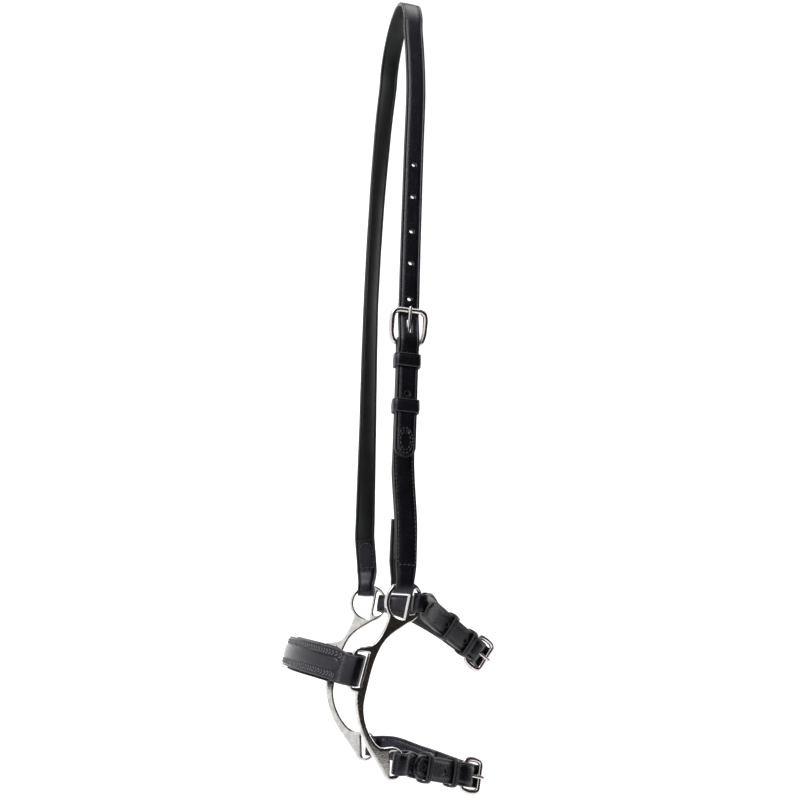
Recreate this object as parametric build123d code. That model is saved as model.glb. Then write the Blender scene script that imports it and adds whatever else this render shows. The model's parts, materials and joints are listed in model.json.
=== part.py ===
from build123d import *
import os
from math import asin, atan2, cos, degrees, hypot, radians, sin, tan

# Bitless hackamore: a leather headpiece over the poll, two flat metal cheeks hung from it,
# a padded noseband between their front bars and two buckled chin straps behind them.
# Millimetres. Origin: centre of the poll arch. +Z up, -X towards the nose, near side at -Y.

# ---- driving dimensions -------------------------------------------------------------------
STRAP_W = 16.0           # width of every strap except the noseband
LAYER = 2.2              # one thickness of sewn leather; laps are two of them
BILLET_T = 2.4           # the single thickness that runs through a buckle
POLL_R = 42.0            # inside radius of the arch over the poll
RING_DROP = 456.0        # cheek rings below the arch centre
RING_X = 8.0             # cheek rings behind the arch centre
RING_Y = 56.75           # cheek rings each side of the middle
CHEEK_YAW = 15.6         # rear ends of the cheeks turn inwards
CHEEK_LEAN = 7.0         # bottoms of the cheeks lean inwards
CHEEK_T = 3.4            # cheek plate thickness
RING_R = 14.8            # outside radius of the cheek ring
RING_BAR = 2.8           # ring bar, in the plane of the cheek
HEAD_BUCKLE_RISE = 187.0 # head buckle hinge bar above the cheek rings
HEAD_REACH = 24.0        # head buckle, bar to bar
HEAD_TIP = -87.0         # billet tip below the hinge bar
HEAD_STRAIGHT = -96.0    # the cheek strap is flat down to here, then twists to the cheek
CHIN_REACH = 13.0        # chin buckles, bar to bar
HOLE_R = 1.7             # punched holes
HOLE_PITCH = 27.8
HOLES_ABOVE = 6.7        # the headpiece's holes step up from here, above the hinge bar
HOLES_BELOW = 15.8       # and down from here, the strap being longer over the bars
CLEAR = 0.3              # gap round pieces that slide or turn
SLACK = 0.8              # side gap between a strap loop and the metal in it

BILLET_LIFT = LAYER + 0.25 + BILLET_T / 2      # billet middle above the strap it lies on
WIRE = 2.8                                      # buckle wire
BAR_R = WIRE / 2
CHAPE_R = BAR_R + 0.3 + LAYER                   # outside of the leather round a buckle bar
BILLET_CREST = CHAPE_R + 0.2 + BILLET_T / 2     # billet middle where it rides over the bar
TONGUE_R = 1.2
TONGUE_OPEN = 10.0       # a tongue lifts this far with the strap still threaded
FRAME_GAP = 0.9          # between a strap's edges and the sides of its buckle
HEAD_SWELL = 2.6         # the sides of a buckle bow out by this much
CHIN_SWELL = 1.0
EYE_WALL = 1.1           # tongue's eye round the hinge bar
EYE_W = 3.2
TONGUE_OVER = 3.5        # the tongue's tip beyond the far bar
BEND_R = 5.0             # chin billets turn this tightly behind their buckle
BEND_AFTER = 1.5         # and start to turn this far beyond the far bar
KEEPER_WALL = 1.6
END_BAR_LIFT = 4.1                              # far bar of a buckle above its hinge bar
ENTRY = END_BAR_LIFT - BAR_R - BILLET_T / 2 - 0.5   # billet middle where it dips under the far bar


def unit(v):
    return Vector(*v).normalized()


def site(origin, along, outward):
    """Local frame: x along the strap, z out of its outer face, y across it."""
    x = unit(along)
    z = Vector(*outward)
    z = (z - x * z.dot(x)).normalized()
    return Plane(origin=origin, x_dir=x, z_dir=z)


def section(frame, x, z, width, thick):
    """Cross-section of a strap at a place in a local frame."""
    at = Plane(origin=frame.from_local_coords((x, 0, z)), x_dir=frame.y_dir, z_dir=frame.x_dir)
    return at * Rectangle(width, thick)


def strand(*sections):
    return loft(list(sections), ruled=True)


def slab(x0, x1, z, thick, width=STRAP_W):
    return Pos((x0 + x1) / 2, 0, z) * Box(x1 - x0, width, thick)


def prism(profile, width):
    """Extrudes an x-z profile equally to both sides of y = 0."""
    return extrude(Plane.XZ * profile, amount=width / 2, both=True)


def far_side(shape):
    return mirror(shape, about=Plane.XZ)


# ---- a strap loop round a metal bar -------------------------------------------------------
def strap_loop(width, back, front, end, half=CHEEK_T / 2 + SLACK):
    """Leather folded round a bar at the origin; the strap leaves along +x and closes at end."""
    bend = -(back - half)
    r = half + LAYER
    skin = Pos(bend, 0) * Circle(r)
    skin += Polygon((bend, -r), (front, -r), (end, -LAYER), (end, LAYER), (front, r), (bend, r), align=None)
    room = Pos(bend, 0) * Circle(half)
    room += Polygon((bend, -half), (front, -half), (front + 2, 0), (front, half), (bend, half), align=None)
    return prism(skin - room, width)


# ---- buckles, keepers and billets, in the local frame of their hinge bar ------------------
def buckle_frame(reach, swell):
    """Wire frame with swelled sides; hinge bar at x = 0, far bar at x = reach and lifted."""
    half = STRAP_W / 2 + FRAME_GAP
    inner = Line((0, -half), (0, half))
    inner += ThreePointArc((0, half), (reach / 2, half + swell), (reach - BAR_R, half))
    inner += Line((reach - BAR_R, half), (reach - BAR_R, -half))
    inner += ThreePointArc((reach - BAR_R, -half), (reach / 2, -half - swell), (0, -half))
    outer = Line((0, -half - WIRE), (0, half + WIRE))
    outer += ThreePointArc((0, half + WIRE), (reach / 2, half + swell + WIRE), (reach + BAR_R, half))
    outer += Line((reach + BAR_R, half), (reach + BAR_R, -half))
    outer += ThreePointArc((reach + BAR_R, -half), (reach / 2, -half - swell - WIRE), (0, -half - WIRE))
    sides = extrude(make_face(outer) - make_face(inner), amount=WIRE / 2 - 0.1, both=True)
    bar = Rot(90, 0, 0) * Cylinder(BAR_R, 2 * (half + WIRE))
    tilt = degrees(atan2(END_BAR_LIFT, reach))
    return Rot(0, -tilt, 0) * (sides + bar)


def tongue_slope(reach):
    """Angle of a closed tongue, which rests on the far bar."""
    over_bar = asin((BAR_R + TONGUE_R + 0.25) / hypot(reach, END_BAR_LIFT))
    return degrees(atan2(END_BAR_LIFT, reach) + over_bar)


def buckle_tongue(reach):
    eye = Rot(90, 0, 0) * (Cylinder(BAR_R + EYE_WALL, EYE_W) - Cylinder(BAR_R + 0.2, EYE_W + 1))
    length = reach + TONGUE_OVER
    start = BAR_R + 0.7
    rod = Pos((length + start) / 2, 0, 0) * Rot(0, 90, 0) * Cylinder(TONGUE_R, length - start)
    tip = Pos(length, 0, 0) * Sphere(TONGUE_R)
    return Rot(0, -tongue_slope(reach), 0) * (eye + rod + tip)


def chape(x0):
    """Doubled strap from x0 to the hinge bar, folded round it and slotted for the tongue."""
    profile = Circle(CHAPE_R)
    profile += Polygon((x0, -LAYER), (-6, -LAYER), (0, -CHAPE_R), (0, CHAPE_R), (-6, LAYER), (x0, LAYER),
                       align=None)
    profile -= Circle(BAR_R + 0.3)
    slot = Pos(0.5, 0, 0) * Box(9.5, EYE_W + 1.2, 12)
    return prism(profile, STRAP_W) - slot


def billet_line(reach, flat_to, x_far):
    """Middle line of a billet in a buckle, from the far side of the buckle to x0."""
    crest = BILLET_CREST
    return [(x_far, ENTRY), (reach - 3, ENTRY), (2.5, crest), (-2.5, crest), (flat_to, BILLET_LIFT)]


def billet(reach, flat_to, tip, x_far, holes):
    """Single strap through a buckle with a rounded tip, punched holes and the tongue's slot."""
    points = billet_line(reach, flat_to, x_far) + [(tip, BILLET_LIFT)]
    half = BILLET_T / 2
    upper = [(x, z + half) for x, z in points]
    lower = [(x, z - half) for x, z in reversed(points)]
    band = Polygon(*upper, *lower, align=None)
    solid = prism(band, STRAP_W)
    rounding = Pos(tip + STRAP_W / 2, 0, BILLET_LIFT) * Cylinder(STRAP_W / 2, 6)
    corner = slab(tip - 1, tip + STRAP_W / 2, BILLET_LIFT, 6, STRAP_W + 2) - rounding
    solid -= corner
    for x in holes:
        solid -= Pos(x, 0, BILLET_LIFT) * Cylinder(HOLE_R, 14)
    slot_from, slot_to = tongue_slot(reach)
    solid -= Pos((slot_from + slot_to) / 2, 0, 3) * Box(slot_to - slot_from, 2 * TONGUE_R + 0.8, 14)
    return solid


def tongue_slot(reach):
    """Start and end of the slot that the tongue needs from closed to its open limit."""
    fall = atan2(BILLET_CREST - ENTRY, reach - 5.5)
    ends = []
    for opened in (0, TONGUE_OPEN):
        rise = radians(tongue_slope(reach) + opened)
        x = (BILLET_CREST + 2.5 * tan(fall)) / (tan(rise) + tan(fall))
        half = (TONGUE_R + 0.15) / sin(rise + fall) + BILLET_T / 2 / tan(rise + fall)
        ends += [x - half, x + half]
    return min(ends), max(ends)


def keeper(x, length, wall=KEEPER_WALL):
    """Leather loop round a doubled strap and the billet on it."""
    low = -LAYER - CLEAR
    high = BILLET_LIFT + BILLET_T / 2 + CLEAR
    room = Pos(0, 0, (low + high) / 2) * Box(length + 1, STRAP_W + 2 * CLEAR, high - low)
    body = Pos(0, 0, (low + high) / 2) * Box(length, STRAP_W + 2 * CLEAR + 2 * wall, high - low + 2 * wall)
    body = fillet(body.edges().filter_by(Axis.X), 1.2)
    return Pos(x, 0, 0) * (body - room)


# ---- cheeks -------------------------------------------------------------------------------
def cheek_plane():
    """Near cheek: x rearwards in the plate, y up in the plate, z outwards."""
    yaw = radians(CHEEK_YAW)
    lean = radians(CHEEK_LEAN)
    rear = Vector(cos(yaw), sin(yaw), 0)
    up = Vector(0, -sin(lean), cos(lean))
    return Plane(origin=(RING_X, -RING_Y, -RING_DROP), x_dir=rear, z_dir=rear.cross(up))


POST_FOOT = (2.0, -6.5)      # front face of the post between eye and chin-strap slot
POST_HEAD = (4.1, 10.0)
POST_T = 2.2
SLOT_R = 12.6                # the chin-strap slot is cut a little further out than the eye
RING_REAR = 14.0             # the ring is flat behind, where the chin strap pulls
REAR_BAR_U = RING_REAR - RING_BAR / 2 - 0.1
NOSE_BAR_TOP = (-33.4, -34.4)
NOSE_BAR_FOOT = (-35.4, -56.2)
FOOT_BAR_U = 9.0
FOOT_BAR_V = -107.0


def cheek():
    inner_r = RING_R - RING_BAR
    ring = Circle(RING_R) & (Pos(RING_REAR - 20, 0) * Rectangle(40, 40))
    front = Spline((-10.8, -9.6), (-14.6, -21.2), (-19.6, -28.2))
    brow = Spline((-19.6, -28.2), (-26.5, -30.6), (-33.6, -32.4), (-35.6, -37.0))
    nose_bar = Line((-35.6, -37.0), (-37.2, -54.5))
    heel = ThreePointArc((-37.2, -54.5), (-35.0, -58.6), (-29.9, -60.4))
    shin = Spline((-29.9, -60.4), (-29.1, -69.2), (-25.6, -81.5), (-18.8, -94.0), (-9.1, -106.2),
                  (-3.2, -114.0))
    toe = ThreePointArc((-3.2, -114.0), (2.7, -118.0), (9.4, -115.2))
    foot = ThreePointArc((9.4, -115.2), (10.5, -107.0), (9.4, -99.6))
    back_edge = Spline((9.4, -99.6), (5.4, -97.0), (0.8, -96.2), (-4.2, -96.6), (-8.6, -95.6), (-12.6, -92.4),
                  (-16.6, -87.6), (-20.4, -80.8), (-23.4, -69.2), (-22.4, -58.5), (-18.6, -39.4),
                  (-11.0, -25.1), (0.5, -16.6), (12.4, -7.6))
    close = Line((12.4, -7.6), (-10.8, -9.6))
    body = make_face(front + brow + nose_bar + heel + shin + toe + foot + back_edge + close)
    foot_u, foot_v = POST_FOOT
    head_u, head_v = POST_HEAD
    eye_side = Polygon((-20, foot_v - 20), (foot_u - 2.5, foot_v - 20), POST_FOOT, POST_HEAD,
                       (head_u + 1.3, 20), (-20, 20), align=None)
    slot_rear = RING_REAR - RING_BAR
    slot_side = Polygon((foot_u + POST_T - 0.2, -8.6), (slot_rear, -8.0), (slot_rear, 8.0),
                        (head_u + POST_T + 0.5, 9.6), (head_u + POST_T, 8.0), align=None)
    disc = Circle(inner_r)
    nose_slot = Polygon((-32.0, -33.9), (-23.2, -34.4), (-25.2, -45.0), (-27.4, -57.0), (-33.9, -57.0),
                        align=None)
    foot_slot = Polygon((0.2, -99.0), (7.6, -99.0), (7.6, -115.0), (1.6, -115.0), align=None)
    plate = ring + body - (disc & eye_side) - (Circle(SLOT_R) & slot_side) - nose_slot - foot_slot
    return extrude(plate, amount=CHEEK_T / 2, both=True)


# ---- frames of the pieces -----------------------------------------------------------------
CHEEK = cheek_plane()
LEAN = (RING_Y - POLL_R - BILLET_T / 2) / RING_DROP       # strands spread outwards going down


def strand_y(rise):
    """Distance of a headpiece strand from the middle at a height above the rings."""
    return RING_Y - LEAN * rise


HEAD = site((RING_X - 4, -strand_y(HEAD_BUCKLE_RISE), HEAD_BUCKLE_RISE - RING_DROP), (0, LEAN, 1), (0, -1, 0))
RING_LOOP_END = 12.0
SIDE_LOOP_END = 8.0
EYE_FOLD_W = 11.6         # the headpiece where it folds through the eye of a cheek


def point(x, y, z):
    """A place given from the middle of the line between the two cheek rings."""
    return Vector(RING_X + x, y, z - RING_DROP)


def mirrored(v):
    return Vector(v.X, -v.Y, v.Z)


def strand_site(rise, x, twist):
    """Near-side headpiece strand at a height above the rings, its face turned rearwards by twist."""
    face = (sin(radians(twist)), -cos(radians(twist)), 0)
    return site(point(x, -strand_y(rise), rise), (0, LEAN, 1), face)


def bar_site(u, v, heading, droop):
    """Loop frame on a bar of the near cheek. Heading is the turn from straight out of the
    plate's edge towards the middle, and droop the fall of the strap."""
    side = 1 if u > 0 else -1
    rear, up, out = CHEEK.x_dir, CHEEK.y_dir, CHEEK.z_dir
    along = rear * (side * cos(radians(heading))) - out * sin(radians(heading))
    face = out * cos(radians(heading)) + rear * (side * sin(radians(heading)))
    fall = radians(droop)
    return site(CHEEK.from_local_coords((u, v, 0)), along * cos(fall) - up * sin(fall), face)


RING_LOOP = site(CHEEK.from_local_coords((-2.6, 13.2, 0)), CHEEK.y_dir, CHEEK.z_dir)


def drawn_in(loop, end, fold_w, end_w):
    """Narrows a loop towards its fold, as leather gathers in a slot."""
    near, far = fold_w / 2, end_w / 2
    outline = Polygon((-12, -near), (3, -near), (end, -far), (end, far), (3, near), (-12, near), align=None)
    return loop & extrude(outline, amount=8, both=True)


def ring_loop():
    """Strap loop through the eye of the near cheek."""
    loop = strap_loop(STRAP_W, 5.5, 2.1, RING_LOOP_END)
    return RING_LOOP.location * drawn_in(loop, RING_LOOP_END, EYE_FOLD_W, STRAP_W)


# ---- headpiece ----------------------------------------------------------------------------
def headpiece_strap():
    """From the far ring, over the poll and down through the head buckle to its tip."""
    single = BILLET_T
    double = 2 * LAYER
    arch = Circle(POLL_R + BILLET_T) - Circle(POLL_R)
    arch &= Pos(0, 50) * Rectangle(120, 100)
    solid = extrude(Plane.YZ * arch, amount=STRAP_W / 2, both=True)
    arch_end = site((0, -strand_y(RING_DROP), 0), (0, 0, 1), (0, -1, 0))
    near = strand(section(HEAD, HEAD_REACH + 10, ENTRY, STRAP_W, single),
                  section(strand_site(400, -4, 0), 0, 0, STRAP_W, single),
                  section(arch_end, 0, 0, STRAP_W, single))
    holes_below = [HOLES_BELOW - HOLE_PITCH * step for step in (1, 2, 3)]
    holes_above = [HOLES_ABOVE + HOLE_PITCH * step for step in (1, 2, 3, 4, 5)]
    end = HEAD.location * billet(HEAD_REACH, -9.5, HEAD_TIP, HEAD_REACH + 10, holes_below)
    for x in holes_above:
        near -= HEAD.location * Pos(x, 0, 0) * Cylinder(HOLE_R, 20)
    far = strand(section(RING_LOOP, RING_LOOP_END, 0, STRAP_W, double),
                 section(strand_site(52, -6, 6), 0, 0, STRAP_W, double))
    far += strand(section(strand_site(52, -6, 6), 0, 0, STRAP_W, single),
                  section(strand_site(135, -8.5, -18), 0, 0, STRAP_W, single),
                  section(strand_site(250, -12, -30), 0, 0, STRAP_W, single),
                  section(strand_site(340, -12, -26), 0, 0, STRAP_W, single),
                  section(strand_site(420, -10, -10), 0, 0, STRAP_W, single),
                  section(arch_end, 0, 0, STRAP_W, single))
    far += ring_loop()
    return solid + near + end + far_side(far)


def near_cheek_strap():
    """From the head buckle down to the near ring, doubled all the way."""
    double = 2 * LAYER
    twisted = strand(section(RING_LOOP, RING_LOOP_END, 0, STRAP_W, double),
                     section(HEAD, HEAD_STRAIGHT, 0, STRAP_W, double))
    return HEAD.location * chape(HEAD_STRAIGHT) + twisted + ring_loop()


# ---- chin straps --------------------------------------------------------------------------
class ChinStrap:
    """Near half with the buckle, far half that runs through it and back towards the near cheek."""

    def __init__(self, bar, fold_w, end_bar, face_down, straight, tip, holes, headings, droops, middles,
                 back):
        self.fold_w = fold_w
        self.back = back
        self.straight = straight
        self.tip = tip
        self.holes = holes
        self.near_loop = bar_site(bar[0], bar[1], headings[0], droops[0])
        self.far_loop_near_side = bar_site(bar[0], bar[1], headings[1], droops[1])
        run = point(*end_bar) - self.near_loop.origin
        self.length = run.length
        level = Vector(run.Y, -run.X, 0).normalized()
        rise = level.cross(run.normalized())
        face = level * cos(radians(face_down)) - rise * sin(radians(face_down))
        along = run.normalized()
        self.buckle = site(point(*end_bar) - along * CHIN_REACH, along, face)
        self.middles = [point(*m) for m in middles]

    def loop(self):
        loop = strap_loop(STRAP_W, self.back, 2.5, SIDE_LOOP_END)
        return drawn_in(loop, SIDE_LOOP_END, self.fold_w, STRAP_W)

    def near_half(self):
        double = 2 * LAYER
        lead = strand(section(self.near_loop, SIDE_LOOP_END, 0, STRAP_W, double),
                      section(self.buckle, self.straight, 0, STRAP_W, double))
        return self.near_loop.location * self.loop() + lead + self.buckle.location * chape(self.straight)

    def far_half(self):
        single = BILLET_T
        start = CHIN_REACH + BEND_AFTER
        away = self.buckle.to_local_coords(self.middles[-1]) - Vector(start, 0, ENTRY - BEND_R)
        turn = degrees(atan2(-away.X, -away.Z)) + 90
        far_loop = site(mirrored(self.far_loop_near_side.origin), mirrored(self.far_loop_near_side.x_dir),
                        mirrored(self.far_loop_near_side.z_dir))
        band = Circle(BEND_R + single / 2) - Circle(BEND_R - single / 2)
        wedge = Polygon((0, 0), (0, 20), (20 * sin(radians(turn / 2)), 20 * cos(radians(turn / 2))),
                        (20 * sin(radians(turn)), 20 * cos(radians(turn))), align=None)
        bend = Pos(start, 0, ENTRY - BEND_R) * prism(band & wedge, STRAP_W)
        entry = billet(CHIN_REACH, -6.5, self.tip, start, self.holes)
        centre = self.buckle.from_local_coords((start, 0, ENTRY - BEND_R))
        outward = self.buckle.x_dir * sin(radians(turn)) + self.buckle.z_dir * cos(radians(turn))
        leaving = self.buckle.z_dir * sin(radians(turn)) - self.buckle.x_dir * cos(radians(turn))
        bend_end = site(centre + outward * BEND_R, leaving, outward)
        stops = [far_loop.from_local_coords((SIDE_LOOP_END, 0, 0))] + self.middles + [bend_end.origin]
        sections = [section(far_loop, SIDE_LOOP_END, 0, STRAP_W, single)]
        for before, here, after in zip(stops, stops[1:], stops[2:]):
            along = (here - before).normalized() + (after - here).normalized()
            level = Vector(-along.Y, along.X, 0)
            sections.append(section(site(here, along, level), 0, 0, STRAP_W, single))
        sections.append(section(bend_end, 0, 0, STRAP_W, single))
        run = strand(*sections)
        return far_loop.location * self.loop() + run + self.buckle.location * (bend + entry)


UPPER = ChinStrap(bar=(REAR_BAR_U, 0.0), fold_w=13.0, end_bar=(72.5, -13.0, -35.5), face_down=20.0,
                  straight=-55.0, tip=-54.0, holes=(-15.0, -39.0), headings=(12.0, 20.0), droops=(5.0, 5.0),
                  middles=[(32.0, 36.0, -5.5), (50.0, 21.0, -16.0), (62.0, 5.0, -26.0)], back=3.1)
LOWER = ChinStrap(bar=(FOOT_BAR_U, FOOT_BAR_V), fold_w=14.5, end_bar=(72.5, -3.0, -120.5), face_down=0.0,
                  straight=-53.0, tip=-55.0, holes=(-25.0, -47.0), headings=(12.0, 12.0), droops=(4.0, 2.0),
                  middles=[(38.8, 25.0, -111.5), (57.0, 10.5, -116.5)], back=3.0)


# ---- noseband -----------------------------------------------------------------------------
NOSE_W = 20.5
NOSE_BAR = (-34.7, -45.5)     # middle of the front bar in the plate
NOSE_REACH = 33.6             # front of the noseband ahead of the bars
NOSE_RISE = 13.5              # it climbs towards the front
NOSE_LOOP_END = 8.0
NOSE_HALF = 3.6               # half the room in its loops
ARC_SPAN = 50.0               # half the angle of its round part
PAD_T = 5.0
PAD_W = 23.0
STRIP_T = 1.6
STRIP_W = 9.0


def nose_frames():
    """Loop frame on the near nose bar, and the plane and radius of the round part."""
    loop = bar_site(NOSE_BAR[0], NOSE_BAR[1], 43.0, -3.0)
    middle = Vector(loop.origin.X, 0, loop.origin.Z)
    forward = Vector(-cos(radians(NOSE_RISE)), 0, sin(radians(NOSE_RISE)))
    end = loop.from_local_coords((NOSE_LOOP_END, 0, 0)) - middle
    half_chord = -end.Y
    depth = NOSE_REACH / cos(radians(NOSE_RISE)) - end.dot(forward)
    radius = (half_chord ** 2 + depth ** 2) / (2 * depth)
    centre = middle + forward * (NOSE_REACH / cos(radians(NOSE_RISE)) - radius)
    normal = Vector(sin(radians(NOSE_RISE)), 0, cos(radians(NOSE_RISE)))
    return loop, Plane(origin=centre, x_dir=forward, z_dir=normal), radius


NOSE_LOOP, NOSE_PLANE, NOSE_R = nose_frames()


def nose_band(inner, outer, width, span):
    """Round band between two radii, centred on the front."""
    ring = Circle(outer) - Circle(inner)
    reach = 2 * outer
    end_x, end_y = reach * cos(radians(span)), reach * sin(radians(span))
    wedge = Polygon((0, 0), (end_x, end_y), (reach, end_y), (reach, -end_y), (end_x, -end_y), align=None)
    return NOSE_PLANE.location * extrude(ring & wedge, amount=width / 2, both=True)


def noseband_strap():
    band = nose_band(NOSE_R - LAYER, NOSE_R + LAYER, NOSE_W, ARC_SPAN)
    out = NOSE_PLANE.x_dir * cos(radians(ARC_SPAN)) - NOSE_PLANE.y_dir * sin(radians(ARC_SPAN))
    if out.Y > 0:
        out = mirrored(out)
    forward = out.cross(NOSE_PLANE.z_dir)
    if forward.X > 0:
        forward = forward * -1
    arc_end = site(NOSE_PLANE.origin + out * NOSE_R, forward, out)
    loop = NOSE_LOOP.location * strap_loop(NOSE_W, 4.9, 3.0, NOSE_LOOP_END, NOSE_HALF)
    lead = strand(section(NOSE_LOOP, NOSE_LOOP_END, 0, NOSE_W, 2 * LAYER),
                  section(arc_end, 0, 0, NOSE_W, 2 * LAYER))
    side = loop + lead
    return band + side + far_side(side)


def noseband_padding():
    return nose_band(NOSE_R - LAYER - 0.05 - PAD_T, NOSE_R - LAYER - 0.05, PAD_W, ARC_SPAN - 3)


def noseband_raised_strip():
    return nose_band(NOSE_R + LAYER + 0.05, NOSE_R + LAYER + 0.05 + STRIP_T, STRIP_W, ARC_SPAN - 4)


# ---- nodes --------------------------------------------------------------------------------
near = CHEEK.location * cheek()
nodes = {
    "headpiece_strap": headpiece_strap(),
    "near_cheek_strap": near_cheek_strap(),
    "near_cheek": near,
    "far_cheek": far_side(near),
    "noseband_strap": noseband_strap(),
    "noseband_padding": noseband_padding(),
    "noseband_raised_strip": noseband_raised_strip(),
    "upper_chin_buckle_strap": UPPER.near_half(),
    "upper_chin_billet_strap": UPPER.far_half(),
    "lower_chin_buckle_strap": LOWER.near_half(),
    "lower_chin_billet_strap": LOWER.far_half(),
}
for name, frame, reach, swell, fixed, runner, length in (
        ("head", HEAD, HEAD_REACH, HEAD_SWELL, -14.5, -49.0, 10.0),
        ("upper_chin", UPPER.buckle, CHIN_REACH, CHIN_SWELL, -9.5, -34.5, 5.0),
        ("lower_chin", LOWER.buckle, CHIN_REACH, CHIN_SWELL, -14.5, -42.0, 5.0)):
    nodes[name + "_buckle_frame"] = frame.location * buckle_frame(reach, swell)
    nodes[name + "_buckle_tongue"] = frame.location * buckle_tongue(reach)
    nodes[name + "_fixed_keeper"] = frame.location * keeper(fixed, length)
    nodes[name + "_runner_keeper"] = frame.location * keeper(runner, length)

os.makedirs("parts", exist_ok=True)
for name, shape in nodes.items():
    export_step(shape, f"parts/{name}.step")
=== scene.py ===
"""Bitless hackamore: leather, stitching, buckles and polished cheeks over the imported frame."""
import math
import random

import bmesh
import bpy
from mathutils import Matrix, Vector, noise
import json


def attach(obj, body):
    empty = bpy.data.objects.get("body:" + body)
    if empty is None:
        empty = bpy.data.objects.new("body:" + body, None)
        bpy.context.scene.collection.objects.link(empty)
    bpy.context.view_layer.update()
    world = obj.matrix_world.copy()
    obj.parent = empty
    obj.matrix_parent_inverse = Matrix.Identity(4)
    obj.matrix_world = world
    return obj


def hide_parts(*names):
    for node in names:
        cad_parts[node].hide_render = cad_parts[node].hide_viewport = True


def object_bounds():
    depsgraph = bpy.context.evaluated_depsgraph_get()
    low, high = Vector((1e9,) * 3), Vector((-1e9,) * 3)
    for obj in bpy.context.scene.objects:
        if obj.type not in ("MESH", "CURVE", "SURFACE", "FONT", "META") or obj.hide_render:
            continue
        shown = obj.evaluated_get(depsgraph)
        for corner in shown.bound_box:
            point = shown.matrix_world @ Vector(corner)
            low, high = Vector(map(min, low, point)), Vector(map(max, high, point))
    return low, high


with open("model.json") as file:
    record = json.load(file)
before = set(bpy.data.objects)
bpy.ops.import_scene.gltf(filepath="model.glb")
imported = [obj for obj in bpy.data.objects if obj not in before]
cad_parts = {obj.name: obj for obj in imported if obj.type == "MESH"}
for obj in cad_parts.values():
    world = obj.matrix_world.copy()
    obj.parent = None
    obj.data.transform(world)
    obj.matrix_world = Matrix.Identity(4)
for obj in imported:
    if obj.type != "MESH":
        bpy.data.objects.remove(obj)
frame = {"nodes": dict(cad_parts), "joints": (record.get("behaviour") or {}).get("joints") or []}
cad_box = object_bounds()
random.seed(7)
MM = 0.001

# ---- driving dimensions, in millimetres, the same as the frame's ---------------------------
STRAP_W = 16.0
LAYER = 2.2
BILLET_T = 2.4
POLL_R = 42.0
RING_Y = 56.75
CHEEK_YAW = 15.6
CHEEK_LEAN = 7.0
CHEEK_T = 3.4
HOLE_R = 1.7
HOLE_PITCH = 27.8
HOLES_ABOVE = 6.7
HOLES_BELOW = 15.8
HEAD_TIP = -87.0
HEAD_STRAIGHT = -96.0
BILLET_LIFT = LAYER + 0.25 + BILLET_T / 2
WIRE_R = 1.4
TONGUE_R = 1.2
END_BAR_LIFT = 4.1
ENTRY = 1.0
CREST = 5.3
FOLD_R = WIRE_R + 0.3 + LAYER / 2
LOOP_HALF = CHEEK_T / 2 + 0.8
LAID = LAYER / 2 + 0.05  # middle of a layer that lies against another
RING_FOLD_END = 12.0     # where the fold round a ring closes, above its bar
RING_FOLD = (5.5, 2.1, RING_FOLD_END, 12.8)
CHIN_FOLD = (2.5, 8.0)
HEAD_REACH = 24.0
CHIN_REACH = 13.0
NOSE_W = 20.5
NOSE_REACH = 33.6
NOSE_RISE = 13.5
NOSE_HALF = 3.6
NOSE_ARC = 48            # degrees each side of the front, where the round part ends
NOSE_FOLD = (4.9, 3.0, 8.0, NOSE_W - 0.8, NOSE_W, NOSE_HALF)
EDGE_ROW = 6.1           # stitch rows of doubled straps, from the strap's middle
LAP_ROW = 5.4            # and those of laps and billets
PAD_W = 23.0
STRIP_W = 9.0

joints = {j["name"]: j for j in frame["joints"]}


def joint_mm(name):
    return Vector(joints[name]["pos_m"]) / MM


RING = joint_mm("cheek_swing")           # middle of the line between the two cheek rings
STRAND_LEAN = (RING_Y - POLL_R - BILLET_T / 2) / -RING.z


def cos_deg(angle):
    return math.cos(math.radians(angle))


def sin_deg(angle):
    return math.sin(math.radians(angle))


# ---- places -------------------------------------------------------------------------------
class Place:
    """x along a strap or plate, y across it, z out of its face."""

    def __init__(self, origin, along, outward):
        self.origin = Vector(origin)
        self.x = Vector(along).normalized()
        z = Vector(outward)
        self.z = (z - self.x * z.dot(self.x)).normalized()
        self.y = self.z.cross(self.x)

    def at(self, x, y=0.0, z=0.0):
        return self.origin + self.x * x + self.y * y + self.z * z

    def matrix(self):
        m = Matrix((self.x, self.y, self.z)).transposed().to_4x4()
        m.translation = self.origin
        return m


def flip(v):
    return Vector((v.x, -v.y, v.z))


def far_place(place):
    return Place(flip(place.origin), flip(place.x), flip(place.z))


def cheek_place():
    yaw, lean = math.radians(CHEEK_YAW), math.radians(CHEEK_LEAN)
    rear = Vector((math.cos(yaw), math.sin(yaw), 0))
    up = Vector((0, -math.sin(lean), math.cos(lean)))
    return Place(RING + Vector((0, -RING_Y, 0)), rear, rear.cross(up))


CHEEK = cheek_place()


def buckle_place(name):
    """Frame of a buckle's hinge bar, from the joints of its tongue and its runner."""
    along = Vector(joints[name + "_runner_slide"]["axis"])
    across = -Vector(joints[name + "_tongue_open"]["axis"])
    return Place(joint_mm(name + "_tongue_open"), along, along.cross(across))


def bar_place(u, v, heading, droop):
    """Loop on a bar of the near cheek, turned inwards by heading and falling by droop."""
    side = 1 if u > 0 else -1
    turn, fall = math.radians(heading), math.radians(droop)
    along = CHEEK.x * (side * math.cos(turn)) - CHEEK.z * math.sin(turn)
    face = CHEEK.z * math.cos(turn) + CHEEK.x * (side * math.sin(turn))
    return Place(CHEEK.at(u, v), along * math.cos(fall) - CHEEK.y * math.sin(fall), face)


def strand_y(rise):
    return RING_Y - STRAND_LEAN * rise


def strand_place(rise, x, twist):
    face = Vector((sin_deg(twist), -cos_deg(twist), 0))
    return Place(RING + Vector((x, -strand_y(rise), rise)), (0, STRAND_LEAN, 1), face)


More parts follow.
